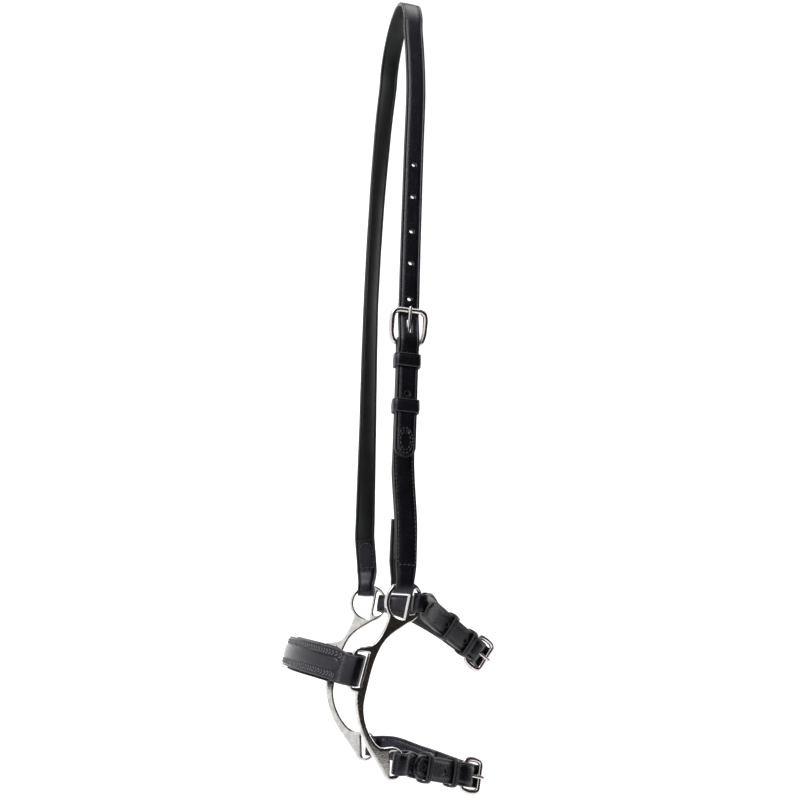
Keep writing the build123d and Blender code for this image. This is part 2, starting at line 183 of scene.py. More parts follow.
HEAD = buckle_place("head")
UPPER = buckle_place("upper_chin")
LOWER = buckle_place("lower_chin")
RING_LOOP = Place(CHEEK.at(-2.6, 13.2), CHEEK.y, CHEEK.z)
NOSE_LOOP = bar_place(-34.7, -45.5, 43.0, -3.0)


# ---- materials ----------------------------------------------------------------------------
class Nodes:
    """Small helper round one material's node tree; coordinates are millimetres on the object."""

    def __init__(self, name):
        self.material = bpy.data.materials.new(name)
        self.material.use_nodes = True
        self.tree = self.material.node_tree
        self.shader = self.tree.nodes["Principled BSDF"]
        place = self.add("ShaderNodeTexCoord")
        scale = self.add("ShaderNodeVectorMath", operation="SCALE")
        scale.inputs["Scale"].default_value = 1 / MM
        self.link(place.outputs["Object"], scale.inputs[0])
        self.mm = scale.outputs[0]

    def add(self, kind, **settings):
        node = self.tree.nodes.new(kind)
        for key, value in settings.items():
            setattr(node, key, value)
        return node

    def link(self, a, b):
        self.tree.links.new(a, b)

    def put(self, **values):
        for key, value in values.items():
            self.shader.inputs[key.replace("_", " ")].default_value = value

    def noise(self, size, detail=4.0, rough=0.55):
        node = self.add("ShaderNodeTexNoise")
        node.inputs["Scale"].default_value = 1 / size
        node.inputs["Detail"].default_value = detail
        node.inputs["Roughness"].default_value = rough
        self.link(self.mm, node.inputs["Vector"])
        return node.outputs["Fac"]

    def cells(self, size, feature="F1"):
        node = self.add("ShaderNodeTexVoronoi", feature=feature)
        node.inputs["Scale"].default_value = 1 / size
        self.link(self.mm, node.inputs["Vector"])
        return node.outputs["Distance"]

    def ramp(self, value, stops):
        node = self.add("ShaderNodeValToRGB")
        ramp = node.color_ramp
        while len(ramp.elements) < len(stops):
            ramp.elements.new(0.5)
        for element, (at, colour) in zip(ramp.elements, stops):
            element.position = at
            element.color = (*colour, 1.0)
        self.link(value, node.inputs["Fac"])
        return node.outputs["Color"]

    def span(self, value, low, high):
        node = self.add("ShaderNodeMapRange")
        node.inputs["To Min"].default_value = low
        node.inputs["To Max"].default_value = high
        self.link(value, node.inputs["Value"])
        return node.outputs["Result"]

    def mix(self, a, b, share):
        node = self.add("ShaderNodeMath", operation="MULTIPLY_ADD")
        node.inputs[1].default_value = share
        self.link(b, node.inputs[0])
        self.link(a, node.inputs[2])
        return node.outputs["Value"]

    def bump(self, height, depth):
        node = self.add("ShaderNodeBump")
        node.inputs["Strength"].default_value = 1.0
        node.inputs["Distance"].default_value = depth * MM
        self.link(height, node.inputs["Height"])
        self.link(node.outputs["Normal"], self.shader.inputs["Normal"])

    def colour(self, socket):
        self.link(socket, self.shader.inputs["Base Color"])

    def rough(self, value, low, high):
        self.link(self.span(value, low, high), self.shader.inputs["Roughness"])


def leather(name, dark, light, grain, depth, rough, coat=0.15, tint=(0.86, 0.84, 1.0)):
    """Smooth finished leather: pebbled grain, slow colour change and a soft waxy coat."""
    n = Nodes(name)
    slow = n.noise(14.0, 3.0)
    fine = n.noise(grain * 0.45, 3.0)
    pebble = n.cells(grain)
    n.colour(n.ramp(n.mix(slow, pebble, 0.25), [(0.3, dark), (0.75, light)]))
    n.rough(n.noise(5.0, 5.0, 0.65), rough - 0.09, rough + 0.11)
    n.bump(n.mix(pebble, fine, 0.5), depth)
    n.put(Coat_Weight=coat, Coat_Roughness=0.24, Coat_IOR=1.4, Specular_IOR_Level=0.25,
          Specular_Tint=(*tint, 1.0))
    return n.material


def raw_edge(name, dark, light):
    """Cut, burnished edge of a strap, with fine lines of fibre."""
    n = Nodes(name)
    fibre = n.noise(0.5, 5.0, 0.7)
    n.colour(n.ramp(fibre, [(0.3, dark), (0.75, light)]))
    n.rough(n.noise(3.0), 0.38, 0.6)
    n.bump(fibre, 0.05)
    return n.material


def thread_material(name, dark, light):
    """Waxed twisted thread."""
    n = Nodes(name)
    wave = n.add("ShaderNodeTexWave", wave_type="BANDS", bands_direction="DIAGONAL")
    wave.inputs["Scale"].default_value = 0.55
    wave.inputs["Distortion"].default_value = 1.5
    n.link(n.mm, wave.inputs["Vector"])
    n.colour(n.ramp(wave.outputs["Fac"], [(0.2, dark), (0.8, light)]))
    n.rough(n.noise(1.2), 0.3, 0.5)
    n.bump(wave.outputs["Fac"], 0.05)
    return n.material


def steel(name, dark, light, rough, depth):
    """Polished cast metal: faint polishing lines, shallow pits, and blotches of lighter and darker colour
    that are painted reflection.
    """
    n = Nodes(name)
    stretch = n.add("ShaderNodeMapping")
    stretch.inputs["Scale"].default_value = (0.25, 0.25, 3.0)
    stretch.inputs["Rotation"].default_value = (0.0, 0.5, 0.2)
    n.link(n.mm, stretch.inputs["Vector"])
    lines = n.add("ShaderNodeTexNoise")
    lines.inputs["Scale"].default_value = 1.3
    lines.inputs["Detail"].default_value = 6.0
    n.link(stretch.outputs["Vector"], lines.inputs["Vector"])
    # painted reflection: the colour ramp's blotches stand in for the mottled reflections that polished steel
    # shows
    n.colour(n.ramp(n.noise(3.6, 5.0, 0.7), [(0.36, dark), (0.66, light)]))
    n.rough(n.noise(2.2, 5.0, 0.7), rough, rough + 0.09)
    n.bump(n.mix(lines.outputs["Fac"], n.noise(5.0, 2.0), 2.4), depth)
    n.put(Metallic=1.0)
    return n.material


GRAIN, EDGE, FLESH = 0, 1, 2
black_leather = leather("black_strap_leather", (0.0012, 0.0011, 0.0016), (0.0045, 0.0041, 0.006),
                        0.8, 0.12, 0.24)
nose_leather = leather("noseband_leather", (0.0012, 0.0011, 0.0016), (0.0042, 0.0038, 0.0055),
                       0.8, 0.09, 0.2, 0.3)
pad_leather = leather("padding_leather", (0.0015, 0.0015, 0.002), (0.005, 0.0048, 0.006), 0.9, 0.1, 0.42, 0.1)
strip_leather = leather("strip_leather", (0.002, 0.0019, 0.0028), (0.008, 0.0074, 0.010),
                        1.0, 0.025, 0.2, 0.45)
edge_finish = raw_edge("strap_edge", (0.003, 0.0026, 0.0026), (0.014, 0.012, 0.012))
flesh_side = leather("strap_flesh_side", (0.0016, 0.0018, 0.0018), (0.0052, 0.0056, 0.0056),
                     0.5, 0.09, 0.46, 0.0, (0.92, 0.96, 0.96))
thread = thread_material("waxed_thread", (0.008, 0.0075, 0.009), (0.06, 0.056, 0.064))
# lighter copy of the waxed thread for the noseband: its light colour is painted glint on the herringbone
# strokes, whose thread is really as dark as the rest
nose_thread_painted_glint = thread_material("noseband_thread_painted_glint", (0.02, 0.019, 0.022), (0.15, 0.14, 0.155))
# both steels carry the painted reflection blotches of steel()
cheek_steel = steel("cheek_steel", (0.44, 0.425, 0.415), (0.60, 0.585, 0.57), 0.05, 0.010)
buckle_steel = steel("buckle_steel", (0.46, 0.43, 0.43), (0.62, 0.58, 0.58), 0.14, 0.008)
STRAP_FINISH = [black_leather, edge_finish, flesh_side]
NOSE_FINISH = [nose_leather, edge_finish, flesh_side]


# ---- mesh builders ------------------------------------------------------------------------
def spline_point(p0, p1, p2, p3, share):
    """Centripetal curve between p1 and p2."""
    knots = [0.0]
    for a, b in ((p0, p1), (p1, p2), (p2, p3)):
        knots.append(knots[-1] + max((b - a).length, 1e-4) ** 0.5)
    t0, t1, t2, t3 = knots
    t = t1 + (t2 - t1) * share
    a1 = p0 * ((t1 - t) / (t1 - t0)) + p1 * ((t - t0) / (t1 - t0))
    a2 = p1 * ((t2 - t) / (t2 - t1)) + p2 * ((t - t1) / (t2 - t1))
    a3 = p2 * ((t3 - t) / (t3 - t2)) + p3 * ((t - t2) / (t3 - t2))
    b1 = a1 * ((t2 - t) / (t2 - t0)) + a2 * ((t - t0) / (t2 - t0))
    b2 = a2 * ((t3 - t) / (t3 - t1)) + a3 * ((t - t1) / (t3 - t1))
    return b1 * ((t2 - t) / (t2 - t1)) + b2 * ((t - t1) / (t2 - t1))


class Track:
    """A smooth line through stations (point, across, width), sampled for a mesh."""

    def __init__(self, stations, step=1.5, closed=False):
        self.closed = closed
        points = [Vector(s[0]) for s in stations]
        count = len(points)
        self.points, self.across, self.widths = [], [], []
        for i in range(count if closed else count - 1):
            j = (i + 1) % count
            before = points[i - 1] if i or closed else points[0] * 2 - points[1]
            after = points[(i + 2) % count] if i + 2 < count or closed else points[j] * 2 - points[i]
            pieces = max(1, round((points[j] - points[i]).length / step))
            for k in range(pieces):
                share = k / pieces
                self.points.append(spline_point(before, points[i], points[j], after, share))
                self.across.append(stations[i][1].lerp(stations[j][1], share))
                self.widths.append(stations[i][2] * (1 - share) + stations[j][2] * share)
        if not closed:
            self.points.append(points[-1])
            self.across.append(Vector(stations[-1][1]))
            self.widths.append(stations[-1][2])
        self.normals, self.lengths = [], [0.0]
        total = len(self.points)
        for i in range(total):
            ahead = self.points[(i + 1) % total] if closed or i + 1 < total else self.points[i]
            behind = self.points[i - 1] if closed or i else self.points[i]
            run = (ahead - behind).normalized()
            across = self.across[i]
            self.across[i] = (across - run * across.dot(run)).normalized()
            self.normals.append(run.cross(self.across[i]))
            if i:
                self.lengths.append(self.lengths[-1] + (self.points[i] - self.points[i - 1]).length)
        self.length = self.lengths[-1]

    def at(self, s, across=0.0, out=0.0):
        """Point at distance s, with offsets across the strap and out of its face."""
        s = min(max(s, 0.0), self.length)
        low, high = 0, len(self.lengths) - 1
        while high - low > 1:
            middle = (low + high) // 2
            if self.lengths[middle] <= s:
                low = middle
            else:
                high = middle
        gap = self.lengths[high] - self.lengths[low]
        share = (s - self.lengths[low]) / gap if gap else 0.0
        point = self.points[low].lerp(self.points[high], share)
        side = self.across[low].lerp(self.across[high], share).normalized()
        face = self.normals[low].lerp(self.normals[high], share).normalized()
        return point + side * across + face * out

    def nearest(self, place):
        """Distance along the track of its sample nearest to a point."""
        best = min(range(len(self.points)), key=lambda i: (self.points[i] - place).length_squared)
        return self.lengths[best]


def strap_profile(width, thick, crease=2.0, crown=0.15, groove=0.38):
    """Outline of a strap's cross-section as (across, out, material)."""
    half, t = width / 2, thick / 2
    r = min(0.8, thick * 0.4)
    face = [(half - r, 0.0)]
    if crease:
        face += [(half - crease + 0.5, 0.0), (half - crease, -groove), (half - crease - 0.5, 0.0)]
    face += [(half * 0.4, crown), (0.0, crown * 1.2)]
    top = [(-a, t + n, GRAIN) for a, n in face[:-1]] + [(a, t + n, GRAIN) for a, n in reversed(face)]
    right = [(half - r + r * cos_deg(g), t - r + r * sin_deg(g), EDGE)
             for g in (60, 30, 0)]
    right += [(a, -n, m) for a, n, m in reversed(right)]
    left = [(-a, -n, m) for a, n, m in right]
    line = half - 2.4
    under = [(half - r, -t, FLESH), (line + 0.35, -t, FLESH), (line, -t + 0.22, FLESH),
             (line - 0.35, -t, FLESH), (0.0, -t, FLESH)]
    under += [(-a, n, m) for a, n, m in reversed(under[:-1])]
    return top + right + under + left


def linked(name, data):
    """A new object, put into the scene."""
    obj = bpy.data.objects.new(name, data)
    bpy.context.scene.collection.objects.link(obj)
    return obj


def bridge(bm, rings):
    """Faces between each ring of points and the next."""
    for near, far in zip(rings, rings[1:]):
        size = len(near)
        for k in range(size):
            bm.faces.new((near[k], near[(k + 1) % size], far[(k + 1) % size], far[k]))


def mesh_object(name, bm, finish, sharp=48.0):
    """Object from a mesh in millimetres, smooth except at sharp edges."""
    bmesh.ops.recalc_face_normals(bm, faces=bm.faces)
    bmesh.ops.scale(bm, vec=(MM, MM, MM), verts=bm.verts)
    mesh = bpy.data.meshes.new(name)
    bm.to_mesh(mesh)
    bm.free()
    mesh.polygons.foreach_set("use_smooth", [True] * len(mesh.polygons))
    mesh.set_sharp_from_angle(angle=math.radians(sharp))
    obj = linked(name, mesh)
    for material in finish:
        mesh.materials.append(material)
    return obj


def settle(obj, body, slot, *nodes):
    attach(obj, body)
    if nodes:
        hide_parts(*nodes)
    return obj


def full(s, total):
    return 1.0, 1.0


def round_tip(at_start, radius=STRAP_W / 2):
    """Width and thickness shares that round one end of a strap."""
    def shape(s, total):
        left = s if at_start else total - s
        across = math.sqrt(max(0.0, 1 - (1 - min(left / radius, 1.0)) ** 2))
        thin = min(1.0, 0.45 + 0.55 * left / 2.5)
        return max(across, 0.08), thin
    return shape


def ribbon_into(bm, track, profile, shape=full, wobble=0.12):
    """Sweeps a cross-section along a track; widths come from the track."""
    base = max(a for a, n, m in profile) * 2
    rings = []
    for i, point in enumerate(track.points):
        wide, thin = shape(track.lengths[i], track.length)
        wide *= track.widths[i] / base
        shift = track.normals[i] * (wobble * noise.noise(point * 0.045))
        shift += track.across[i] * (wobble * noise.noise(point * 0.03 + Vector((9, 0, 0))))
        rings.append([bm.verts.new(point + shift + track.across[i] * (a * wide)
                                   + track.normals[i] * (n * thin)) for a, n, m in profile])
    size = len(profile)
    for i in range(len(rings) if track.closed else len(rings) - 1):
        near, far = rings[i], rings[(i + 1) % len(rings)]
        for k in range(size):
            face = bm.faces.new((near[k], near[(k + 1) % size], far[(k + 1) % size], far[k]))
            kinds = (profile[k][2], profile[(k + 1) % size][2])
            face.material_index = EDGE if EDGE in kinds else kinds[0]
    if not track.closed:
        for ring in (rings[0], rings[-1]):
            bm.faces.new(ring).material_index = EDGE
    return rings


def strap(name, track, profile, finish, shape=full):
    bm = bmesh.new()
    ribbon_into(bm, track, profile, shape)
    return mesh_object(name, bm, finish)


def tube_into(bm, points, radius_at, closed=False, sides=14, step=0.9):
    """Round wire through points, with its radius given along its length."""
    aside = Vector((0.31, 0.52, 0.79))
    line = Track([(p, aside, 1.0) for p in points], step, closed)
    rings = []
    last = None
    total = len(line.points)
    for i, point in enumerate(line.points):
        ahead = line.points[(i + 1) % total] if closed or i + 1 < total else point
        behind = line.points[i - 1] if closed or i else point
        run = (ahead - behind).normalized()
        side = (last if last else run.orthogonal())
        side = (side - run * side.dot(run)).normalized()
        last = side
        up = run.cross(side)
        r = radius_at(line.lengths[i], line.length)
        rings.append([bm.verts.new(point + side * (r * math.cos(2 * math.pi * k / sides))
                                   + up * (r * math.sin(2 * math.pi * k / sides))) for k in range(sides)])
    twist = 0
    if closed:
        twist = min(range(sides), key=lambda k: (rings[0][k].co - rings[-1][0].co).length)
    for i in range(total if closed else total - 1):
        near, far = rings[i], rings[(i + 1) % total]
        turn = twist if closed and i == total - 1 else 0
        for k in range(sides):
            bm.faces.new((near[k], near[(k + 1) % sides], far[(k + 1 + turn) % sides],
                          far[(k + turn) % sides]))
    if not closed:
        bm.faces.new(rings[0])
        bm.faces.new(rings[-1])


def capsule_into(bm, start, end, face, radius, sides=6):
    """One stitch: a short thread that rises out of the leather and goes back in."""
    run = end - start
    side = run.normalized().cross(face)
    rings = []
    for share, swell in ((0.0, 0.45), (0.14, 0.9), (0.5, 1.0), (0.86, 0.9), (1.0, 0.45)):
        lift = radius * (0.9 * math.sin(math.pi * share) - 0.35)
        middle = start + run * share + face * lift
        rings.append([bm.verts.new(middle + side * (radius * swell * math.cos(2 * math.pi * k / sides))
                                   + face * (radius * swell * math.sin(2 * math.pi * k / sides)))
                      for k in range(sides)])
    bridge(bm, rings)
    bm.faces.new(rings[0])
    bm.faces.new(rings[-1])


class Thread:
    """Stitches of one piece, gathered into one mesh."""

    def __init__(self, pitch=3.1, radius=0.3):
        self.bm = bmesh.new()
        self.pitch = pitch
        self.radius = radius

    def row(self, track, corners, out, gap=0.75):
        """A row of stitches along corners given as (distance, across) on a face of the track."""
        for (s0, a0), (s1, a1) in zip(corners, corners[1:]):
            length = math.hypot(s1 - s0, a1 - a0)
            count = max(1, round(length / self.pitch))
            for k in range(count):
                start, end = k / count, (k + 1) / count
                self.stitch(track, (s0, a0), (s1, a1), start, end - gap / length, out)

    def stitch(self, track, a, b, start, end, out):
        jitter = 0.08 * random.uniform(-1, 1)
        ends = []
        for share in (start, end):
            s = a[0] + (b[0] - a[0]) * share
            across = a[1] + (b[1] - a[1]) * share + jitter
            ends.append(track.at(s, across, out))
        middle = (a[0] + b[0]) / 2
        face = (track.at(middle, 0, 1) - track.at(middle)).normalized() * (1 if out > 0 else -1)
        capsule_into(self.bm, ends[0], ends[1], face, self.radius)

    def done(self, name, body, slot, finish=None):
        return settle(mesh_object(name, self.bm, [finish or thread], 80), body, slot)


def cut(obj, cutter_bm):
    """Takes a closed cutter mesh, in millimetres, out of an object."""
    cutter = mesh_object("cutter", cutter_bm, [edge_finish])
    cutter.data.materials.clear()
    boolean = obj.modifiers.new("punch", "BOOLEAN")
    boolean.operation = "DIFFERENCE"
    boolean.solver = "EXACT"
    boolean.object = cutter
    bpy.context.view_layer.update()
    shaped = obj.evaluated_get(bpy.context.evaluated_depsgraph_get())
    mesh = bpy.data.meshes.new_from_object(shaped)
    obj.modifiers.remove(boolean)
    obj.data = mesh
    bpy.data.objects.remove(cutter)


def peg_into(bm, place, x, y, z, radius, height, long=0.0, sides=20):
    """Cutter through a face at (x, y, z) of a place: round, or an oblong of extra length."""
    ring = []
    for k in range(sides):
        angle = 2 * math.pi * (k + 0.5) / sides
        stretch = long / 2 if math.cos(angle) > 0 else -long / 2
        ring.append((x + stretch + radius * math.cos(angle), y + radius * math.sin(angle)))
    low = [bm.verts.new(place.at(a, b, z - height / 2)) for a, b in ring]
    high = [bm.verts.new(place.at(a, b, z + height / 2)) for a, b in ring]
    bridge(bm, (low, high))
    bm.faces.new(low)
    bm.faces.new(high)


def cut_tongue_slot(obj, place):
    """The oblong slot in the fold round a hinge bar, in which the tongue turns."""
    slot = bmesh.new()
    peg_into(slot, place, 0.3, 0, 0, 2.1, 12.0, long=5.6)
    cut(obj, slot)


def arc_stations(place, centre, radius, start, end, across, width, pieces=6, y=0.0):
    """Stations round a bend in a place's x-z plane; angles run from +x towards +z."""
    stations = []
    for k in range(pieces + 1):
        angle = math.radians(start + (end - start) * k / pieces)
        point = place.at(centre[0] + radius * math.cos(angle), y, centre[1] + radius * math.sin(angle))
        stations.append((point, across, width))
    return stations


def loop_stations(place, across, back, front, end, fold_w, width=STRAP_W, half=LOOP_HALF, drift=0.0):
    """Down the outer layer, round the bar at a place's origin and up the inner layer."""
    bend = -(back - half)
    r = half + LAYER / 2
    stations = [(place.at(end, 0, LAYER / 2), across, width), (place.at(front, 0, r), across, fold_w)]
    stations += arc_stations(place, (bend, 0), r, 90, 270, across, fold_w)
    stations += [(place.at(front, drift / 2, -r), across, fold_w),
                 (place.at(end, drift, -LAYER / 2), across, width)]
    return stations


def chape_stations(place, across):
    """From the inner layer, round the hinge bar of a buckle, to the outer layer."""
    turn = arc_stations(place, (0, 0), FOLD_R, 270, 450, across, STRAP_W)
    return [(place.at(-7, 0, -LAID), across, STRAP_W)] + turn + [
        (place.at(-7, 0, LAID), across, STRAP_W)]


single = strap_profile(STRAP_W, BILLET_T)
layer = strap_profile(STRAP_W, LAYER, crease=1.6, groove=0.22)


# ---- headpiece ----------------------------------------------------------------------------
def billet_stations(place, reach, flat_to, tip, across, tip_rise=0.0):
    """From the rounded tip, up the strap, over the hinge bar and down under the far bar."""
    line = [(tip, BILLET_LIFT + tip_rise), (tip + 6, BILLET_LIFT + 0.55 * tip_rise), (tip + 14, BILLET_LIFT),
            (-20.0, BILLET_LIFT), (flat_to - 2, BILLET_LIFT),
            (-2.8, CREST - 0.1), (0.0, CREST + 0.1), (2.8, CREST - 0.1), (reach - 4, ENTRY + 0.1),
            (reach, ENTRY)]
    return [(place.at(x, 0, z), across, STRAP_W) for x, z in line]


head_across = HEAD.y
far_eye = far_place(RING_LOOP)
stations = billet_stations(HEAD, HEAD_REACH, -9.5, HEAD_TIP, head_across)
stations += [(HEAD.at(HEAD_REACH + 10, 0, ENTRY), head_across, STRAP_W)]
for rise, x in ((280, -4.0), (340, -4.0), (400, -4.0), (435, -6.0)):
    stations.append((strand_place(rise, x, 0).origin, head_across, STRAP_W))
poll_r = POLL_R + BILLET_T / 2
for k in range(13):
    angle = math.radians(180 - 15 * k)
    stations.append((Vector((0, poll_r * math.cos(angle), poll_r * math.sin(angle))), head_across, STRAP_W))
for rise, x, twist in ((420, -10, -10), (340, -12, -26), (250, -12, -30), (135, -8.5, -18), (66, -6.5, 0),
                       (52, -6, 6)):
    place = far_place(strand_place(rise, x, twist))
    stations.append((place.at(0, 0, LAYER / 2 if rise < 60 else 0.3), -place.y, STRAP_W))
stations += loop_stations(far_eye, -far_eye.y, *RING_FOLD, half=LOOP_HALF + 0.25)
lap_end = far_place(strand_place(50, -6, 6))
stations.append((lap_end.at(0, 0, -LAYER / 2), -lap_end.y, STRAP_W))
head_track = Track(stations, step=1.7)
headpiece = strap("headpiece", head_track, single, STRAP_FINISH, round_tip(True))

holes = bmesh.new()
hole_rims = bmesh.new()


def punch(cutter, rims, place, x, z, out, thick):
    """A round hole, and the pressed rim that a punch leaves on both faces."""
    peg_into(cutter, place, x, 0, z, HOLE_R, 9.0)
    for face in (1, -1):
        circle = [place.at(x + (HOLE_R + 0.12) * math.cos(a), (HOLE_R + 0.12) * math.sin(a),
                           out + face * thick / 2)
                  for a in (math.radians(30 * k) for k in range(12))]
        tube_into(rims, circle, lambda s, total: 0.24, closed=True, sides=6, step=1.0)


for k in range(-3, 6):
    x = (HOLES_ABOVE if k > 0 else HOLES_BELOW) + HOLE_PITCH * k
    if k == 0:
        peg_into(holes, HEAD, HEAD_REACH / 2 + 0.2, 0, 3.0, TONGUE_R + 0.4, 9.0, long=8.5)
    elif k < 0:
        punch(holes, hole_rims, HEAD, x, BILLET_LIFT, BILLET_LIFT + 0.15, BILLET_T)
    else:
        here = head_track.nearest(HEAD.at(x, 0, 0))
        middle = head_track.at(here)
        spot = Place(middle, head_track.at(here + 1) - head_track.at(here - 1),
                     head_track.at(here, 0, 1) - middle)
        punch(holes, hole_rims, spot, 0, 0, 0.1, BILLET_T)
cut(headpiece, holes)
settle(headpiece, "headpiece", "strap_leather", "headpiece_strap")
settle(mesh_object("headpiece_hole_rims", hole_rims, [edge_finish]), "headpiece", "strap_leather")

lap_from = head_track.nearest(lap_end.at(0, 0, -LAYER / 2))
lap_to = head_track.nearest(far_eye.at(RING_FOLD_END, 0, -LAYER / 2))
top = BILLET_T / 2
sewing = Thread()
ring = [(12.5 - 9.6 * cos_deg(30 * k), 5.3 * sin_deg(30 * k))
        for k in range(13)]
sewing.row(head_track, ring, top + 0.05)
sewing.row(head_track, [(s * 0.75 + 3.1, a * 0.7) for s, a in ring], top + 0.05)
for side in (-LAP_ROW, LAP_ROW):
    sewing.row(head_track, [(lap_to + 3, side), (lap_from - 7, side)], top)
sewing.row(head_track, [(lap_from - 7, LAP_ROW), (lap_from - 3.4, 3.4), (lap_from - 2.4, 0),
                        (lap_from - 3.4, -3.4), (lap_from - 7, -LAP_ROW)], top)
sewing.row(head_track, [(lap_to + 3, -LAP_ROW), (lap_to + 3, LAP_ROW)], top)
front_from = head_track.nearest(far_place(strand_place(52, -6, 6)).at(0, 0, LAYER / 2))
front_to = head_track.nearest(far_eye.at(RING_FOLD_END, 0, LAYER / 2))
for side in (-LAP_ROW, LAP_ROW):
    sewing.row(head_track, [(front_from, side), (front_to - 2, side)], top)
sewing.done("headpiece_stitches", "headpiece", "strap_leather")

# near cheek strap: doubled from the head buckle to the near ring, its inner layer a little aside
down = -HEAD.y
TAIL = 0.47              # where the tail ends, as a share of the way up to the straight part


def between(share, across, out):
    """Point on the strap between the fold at the ring and the straight part under the buckle."""
    return RING_LOOP.at(RING_FOLD_END, across, out).lerp(HEAD.at(HEAD_STRAIGHT, across, out), share)


tail_foot = between(0.03, 1.4, -1.3 * LAYER)
stations = [(between(TAIL, -0.4, -1.6 * LAYER), down, STRAP_W),
            (between(0.24, 0.4, -1.6 * LAYER), down, STRAP_W),
            (tail_foot, down, STRAP_W)]
stations += list(reversed(loop_stations(RING_LOOP, down, *RING_FOLD, drift=0.8)))[1:-1]
stations += [(RING_LOOP.at(RING_FOLD_END, -0.8, LAYER / 2), down, 15.0),
             (between(0.42, -1.7, LAYER / 2), down, 15.6)]
stations += [(HEAD.at(x, 0, LAID), down, STRAP_W) for x in (HEAD_STRAIGHT + 6, -70, -40, -14)]
stations += list(reversed(chape_stations(HEAD, down)))[1:-1]
stations += [(HEAD.at(x, 0, -LAID), down, STRAP_W) for x in (-14, -40, -70, -86, HEAD_STRAIGHT)]
stations += [(between(0.42, -1.7, -LAYER / 2), down, STRAP_W),
             (between(0.05, -0.6, -LAYER / 2), down, 15.0)]
cheek_track = Track([(p, -a, w) for p, a, w in stations], step=1.5)
cheek_strap = strap("cheek_strap", cheek_track, layer, STRAP_FINISH)
cut_tongue_slot(cheek_strap, HEAD)
settle(cheek_strap, "headpiece", "strap_leather", "near_cheek_strap")
sewing = Thread()
out = LAYER / 2
upper_end = cheek_track.nearest(HEAD.at(-14, 0, out))
lower_end = cheek_track.nearest(RING_LOOP.at(RING_FOLD_END, 0, out))
tail_low = cheek_track.nearest(tail_foot)
inner_high = cheek_track.nearest(HEAD.at(-14, 0, -out))
inner_low = cheek_track.nearest(between(TAIL + 0.03, 0, -out))
for side in (-EDGE_ROW, EDGE_ROW):
    sewing.row(cheek_track, [(upper_end, side), (lower_end, side)], out)
    sewing.row(cheek_track, [(inner_high, side), (inner_low, side)], out)
    sewing.row(cheek_track, [(2.5, side), (tail_low, side)], out)
for s in (lower_end, tail_low, inner_high, 2.5):
    sewing.row(cheek_track, [(s, -EDGE_ROW), (s, EDGE_ROW)], out)
sewing.done("cheek_strap_stitches", "headpiece", "strap_leather")


# ---- buckles and keepers ------------------------------------------------------------------
def buckle(name, body, place, reach, bow, arm_swell, keepers, tongue_body, runner_body):
    """Wire frame, tongue and two leather keepers of one buckle."""
    tilt = math.atan2(END_BAR_LIFT, reach)
    half = STRAP_W / 2 + 0.9
    side = [(0.0, half + 0.3), (0.05 * reach, half + 0.42 * bow), (0.25 * reach, half + 0.86 * bow),
            (0.5 * reach, half + bow), (reach - 5.0, half + 0.97 * bow), (reach - 1.9, half + 0.72 * bow),
            (reach - 0.3, half + 0.12 * bow)]
    outline = [(0.0, 0.0)] + side + [(reach, half - 1.2), (reach, 0.0), (reach, 1.2 - half)]
    outline += [(x, -y) for x, y in reversed(side)]
    points = [place.at(x, y, x * math.tan(tilt)) for x, y in outline]
    bm = bmesh.new()
    hinge_half = half - 1.5

    def wire(s, total):
        """The hinge bar keeps its own size; the arms and the far bar are thicker."""
        return WIRE_R + arm_swell * min(1.0, max(0.0, (min(s, total - s) - hinge_half) / 4))

    tube_into(bm, points, wire, closed=True, sides=18)
    roller = [place.at(reach + 0.0, y, reach * math.tan(tilt)) for y in (-half + 1.6, 0.0, half - 1.6)]
    tube_into(bm, roller, lambda s, total: WIRE_R + 0.42, sides=18)
    settle(mesh_object(name + "_frame", bm, [buckle_steel]), body, "buckle_steel", name + "_buckle_frame")
    slope = tilt + math.asin((WIRE_R + TONGUE_R + 0.25) / math.hypot(reach, END_BAR_LIFT))
    wrap = [(2.15 * cos_deg(g), 2.15 * sin_deg(g))
            for g in (-35, -80, -125, -170, -215, -255)]
    rod = wrap + [(2.6, 1.5), (5.0, 0.5), (reach * 0.6, 0.05), (reach, 0.0), (reach + 3.6, -0.45)]
    turned = [place.at(x * math.cos(slope) - z * math.sin(slope), 0,
                       x * math.sin(slope) + z * math.cos(slope))
              for x, z in rod]

    def thickness(s, total):
        tip = max(0.0, 1 - (total - s) / 1.6)
        return (0.62 + 0.58 * min(1.0, max(0.0, s - 7) / 4)) * math.sqrt(max(0.05, 1 - tip * tip))

    bm = bmesh.new()
    tube_into(bm, turned, thickness, sides=16, step=0.7)
    settle(mesh_object(name + "_tongue", bm, [buckle_steel]), tongue_body, "buckle_steel",
           name + "_buckle_tongue")
    wall = 1.6
    low, high = -LAYER - 0.3 - wall / 2, BILLET_LIFT + BILLET_T / 2 + 0.3 + wall / 2
    side = STRAP_W / 2 + 0.3 + wall / 2
    for kind, x, length, rides in (("fixed", keepers[0], keepers[2], body),
                                   ("runner", keepers[1], keepers[2], runner_body)):
        bend = 1.9
        ring = []
        for y, z, start in ((side - bend, high - bend, 0), (bend - side, high - bend, 90),
                            (bend - side, low + bend, 180), (side - bend, low + bend, 270)):
            ring += [(y + bend * cos_deg(start + g),
                      z + bend * sin_deg(start + g))
                     for g in (0, 45, 90)]
        bulge = [(place.at(x, y, z + (0.15 if abs(y) < 4 else 0)), place.x, length) for y, z in ring]
        profile = strap_profile(length, wall, crease=1.25, crown=0.12, groove=0.2)
        band = strap(f"{name}_{kind}_keeper", Track(bulge, step=1.0, closed=True), profile, STRAP_FINISH)
        settle(band, rides, "strap_leather", f"{name}_{kind}_keeper")


